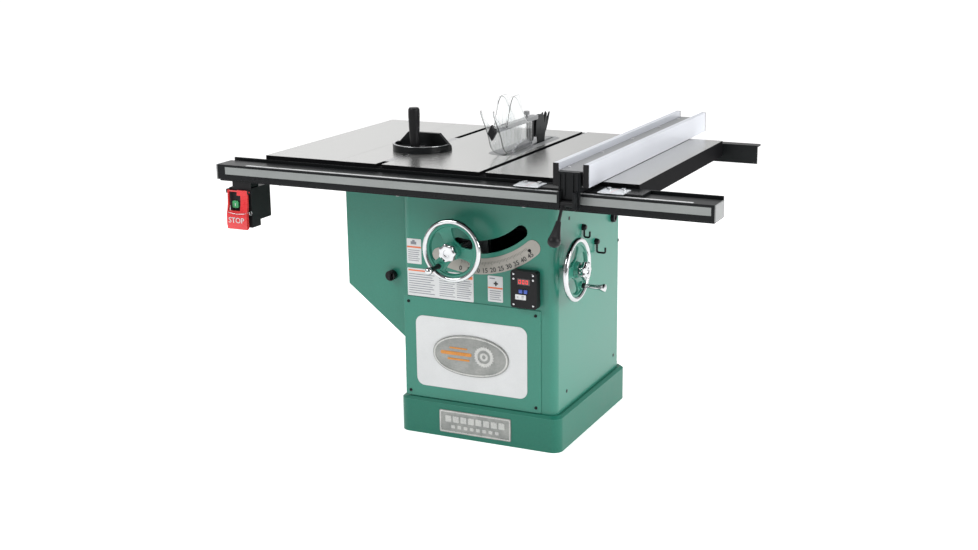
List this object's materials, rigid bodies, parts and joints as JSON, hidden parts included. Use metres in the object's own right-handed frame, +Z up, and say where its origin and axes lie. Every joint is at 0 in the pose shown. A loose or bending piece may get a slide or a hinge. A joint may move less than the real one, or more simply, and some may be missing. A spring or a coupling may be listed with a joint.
{
  "type": "cabinet table saw",
  "caption": "Green cabinet table saw with a cast table, T-square rip fence, mitre gauge, clear blade guard, two handwheels and a paddle stop switch.",
  "frame": {"origin": "on the floor, under the middle of the plinth", "axes": "+X to the right as the operator sees the saw, along the rails; +Y from the operator to the back; +Z up"},
  "size_m": [1.567, 1.1646, 1.015],
  "materials": {
    "green_paint": "semi-gloss",
    "black_paint": "gloss",
    "grey_paint": "semi-gloss",
    "ground_cast_iron": "ground and waxed",
    "machinery_iron": "rough cast",
    "steel": "turned",
    "chrome": "polished",
    "fence_face": "satin anodised",
    "grey_strip": "semi-gloss",
    "label_white": "satin",
    "scale_plate": "satin",
    "black_plastic": "satin",
    "clear_plastic": "clear",
    "red_plastic": "gloss",
    "green_button": "gloss",
    "blue_button": "gloss",
    "display_red": "dark",
    "belt_rubber": "matt"
  },
  "bodies": {
    "cabinet": {"base_plinth": "green_paint", "front_panel": "green_paint", "cabinet_shell": "green_paint", "access_cover": "green_paint", "panel_screws": "black_paint", "label_plates": "label_white", "bevel_scale": "scale_plate", "readout_housing": "black_plastic", "readout_display": "display_red", "storage_hooks": "black_paint", "dust_port": "black_plastic", "motor_cover_hinge": "steel", "main_table": "ground_cast_iron", "left_wing": "ground_cast_iron", "right_wing": "ground_cast_iron", "table_insert": "grey_paint", "table_bolts": "steel", "front_rail_angle": "black_paint", "front_rail_tube": "black_paint", "rail_strips": "grey_strip", "rail_end_caps": "black_plastic", "rear_rail": "black_paint", "trunnion_brackets": "machinery_iron", "switch_box": "black_plastic"},
    "readout_key_left": {"readout_button_left": "blue_button"},
    "readout_key_right": {"readout_button_right": "blue_button"},
    "motor_door": {"motor_cover": "green_paint"},
    "motor_door_latch": {"motor_cover_knob": "black_plastic"},
    "tilting_cradle": {"tilt_cradle": "machinery_iron", "arm_pivot_shaft": "steel", "splitter": "black_paint", "guard_arm": "grey_paint"},
    "raising_unit": {"raising_arm": "machinery_iron", "motor": "black_paint", "drive_belts": "belt_rubber"},
    "arbor": {"arbor_shaft": "steel", "arbor_flanges": "steel", "saw_blade": "steel"},
    "motor_rotor": {"motor_pulley": "steel"},
    "height_wheel": {"height_worm_shaft": "steel", "height_handwheel": "green_paint"},
    "height_crank_handle": {"height_crank": "chrome"},
    "height_lock": {"height_lock_knob": "chrome"},
    "bevel_wheel": {"tilt_worm_shaft": "steel", "tilt_handwheel": "green_paint"},
    "bevel_crank_handle": {"tilt_crank": "chrome"},
    "bevel_lock": {"tilt_lock_knob": "chrome"},
    "guard_left": {"left_shield": "clear_plastic"},
    "guard_right": {"right_shield": "clear_plastic"},
    "pawls": {"kickback_pawls": "black_paint"},
    "rip_fence": {"fence_beam": "grey_paint", "fence_faces": "fence_face", "fence_head": "black_paint", "fence_pointers": "clear_plastic"},
    "fence_lock": {"fence_lever": "black_plastic"},
    "mitre_slide": {"mitre_bar": "steel"},
    "mitre_protractor": {"mitre_head": "black_paint"},
    "mitre_knob": {"mitre_handle": "black_plastic"},
    "power_on_button": {"start_button": "green_button"},
    "power_off_paddle": {"stop_paddle": "red_plastic"}
  },
  "joints": [
    {"name": "readout_key_left_press", "type": "slide", "parent": "cabinet", "child": "readout_key_left", "axis": [0, 1, 0], "range_m": [0, 0.0015], "stiffness_N_per_m": 400},
    {"name": "readout_key_right_press", "type": "slide", "parent": "cabinet", "child": "readout_key_right", "axis": [0, 1, 0], "range_m": [0, 0.0015], "stiffness_N_per_m": 400},
    {"name": "motor_door_swing", "type": "hinge", "parent": "cabinet", "child": "motor_door", "pos_m": [-0.259, 0.233, 0.5], "axis": [0, 0, -1], "range_deg": [0, 100]},
    {"name": "motor_door_latch_turn", "type": "hinge", "parent": "motor_door", "child": "motor_door_latch", "pos_m": [-0.328, -0.19, 0.468], "axis": [0, 1, 0], "range_deg": [0, 90]},
    {"name": "blade_tilt", "type": "hinge", "parent": "cabinet", "child": "tilting_cradle", "pos_m": [-0.015, 0, 0.838], "axis": [0, -1, 0], "range_deg": [0, 45]},
    {"name": "blade_raise", "type": "hinge", "parent": "tilting_cradle", "child": "raising_unit", "pos_m": [0, -0.095, 0.7], "axis": [1, 0, 0], "range_deg": [-10, 14]},
    {"name": "arbor_spin", "type": "hinge", "parent": "raising_unit", "child": "arbor", "pos_m": [-0.015, 0.095, 0.741], "axis": [1, 0, 0], "continuous": true},
    {"name": "motor_spin", "type": "hinge", "parent": "raising_unit", "child": "motor_rotor", "pos_m": [-0.156, -0.02, 0.528], "axis": [1, 0, 0], "continuous": true},
    {"name": "height_wheel_turn", "type": "hinge", "parent": "tilting_cradle", "child": "height_wheel", "pos_m": [-0.04628, -0.338, 0.60358], "axis": [0, 1, 0], "range_deg": [-600, 840]},
    {"name": "height_crank_spin", "type": "hinge", "parent": "height_wheel", "child": "height_crank_handle", "pos_m": [-0.08742, -0.338, 0.55455], "axis": [0, 1, 0], "continuous": true},
    {"name": "height_lock_turn", "type": "hinge", "parent": "height_wheel", "child": "height_lock", "pos_m": [-0.04628, -0.338, 0.60358], "axis": [0, 1, 0], "range_deg": [0, 180]},
    {"name": "bevel_wheel_turn", "type": "hinge", "parent": "cabinet", "child": "bevel_wheel", "pos_m": [0.29, -0.205, 0.549], "axis": [-1, 0, 0], "range_deg": [0, 7200]},
    {"name": "bevel_crank_spin", "type": "hinge", "parent": "bevel_wheel", "child": "bevel_crank_handle", "pos_m": [0.29, -0.173, 0.49357], "axis": [-1, 0, 0], "continuous": true},
    {"name": "bevel_lock_turn", "type": "hinge", "parent": "bevel_wheel", "child": "bevel_lock", "pos_m": [0.29, -0.205, 0.549], "axis": [-1, 0, 0], "range_deg": [0, 180]},
    {"name": "guard_left_lift", "type": "slide", "parent": "tilting_cradle", "child": "guard_left", "axis": [0, 0, 1], "range_m": [0, 0.06]},
    {"name": "guard_right_lift", "type": "slide", "parent": "tilting_cradle", "child": "guard_right", "axis": [0, 0, 1], "range_m": [0, 0.06]},
    {"name": "pawl_swing", "type": "hinge", "parent": "tilting_cradle", "child": "pawls", "pos_m": [-0.015, 0.216, 0.884], "axis": [1, 0, 0], "range_deg": [0, 30]},
    {"name": "fence_slide", "type": "slide", "parent": "cabinet", "child": "rip_fence", "axis": [1, 0, 0], "range_m": [-0.26, 0.2]},
    {"name": "fence_lever_lift", "type": "hinge", "parent": "rip_fence", "child": "fence_lock", "pos_m": [0.362, -0.45, 0.797], "axis": [-1, 0, 0], "range_deg": [0, 60]},
    {"name": "mitre_slide_travel", "type": "slide", "parent": "cabinet", "child": "mitre_slide", "axis": [0, 1, 0], "range_m": [-0.18, 0.26]},
    {"name": "mitre_angle", "type": "hinge", "parent": "mitre_slide", "child": "mitre_protractor", "pos_m": [-0.2928, -0.045, 0.838], "axis": [0, 0, 1], "range_deg": [-50, 50]},
    {"name": "mitre_knob_turn", "type": "hinge", "parent": "mitre_slide", "child": "mitre_knob", "pos_m": [-0.2928, -0.095, 0.85], "axis": [0, 0, 1], "range_deg": [0, 180]},
    {"name": "start_press", "type": "slide", "parent": "cabinet", "child": "power_on_button", "axis": [0, 1, 0], "range_m": [0, 0.0035], "stiffness_N_per_m": 600},
    {"name": "stop_push", "type": "hinge", "parent": "cabinet", "child": "power_off_paddle", "pos_m": [-0.731, -0.41, 0.739], "axis": [1, 0, 0], "range_deg": [0, 4], "stiffness_Nm_per_rad": 1.5}
  ],
  "couplings": [
    {"joint": "blade_tilt", "follows": "bevel_wheel_turn", "ratio": 0.00625},
    {"joint": "guard_left_lift", "follows": "bevel_wheel_turn", "m_per_rad": 0.00019099},
    {"joint": "blade_raise", "follows": "height_wheel_turn", "ratio": 0.016667},
    {"joint": "arbor_spin", "follows": "motor_spin", "ratio": 1.18}
  ]
}
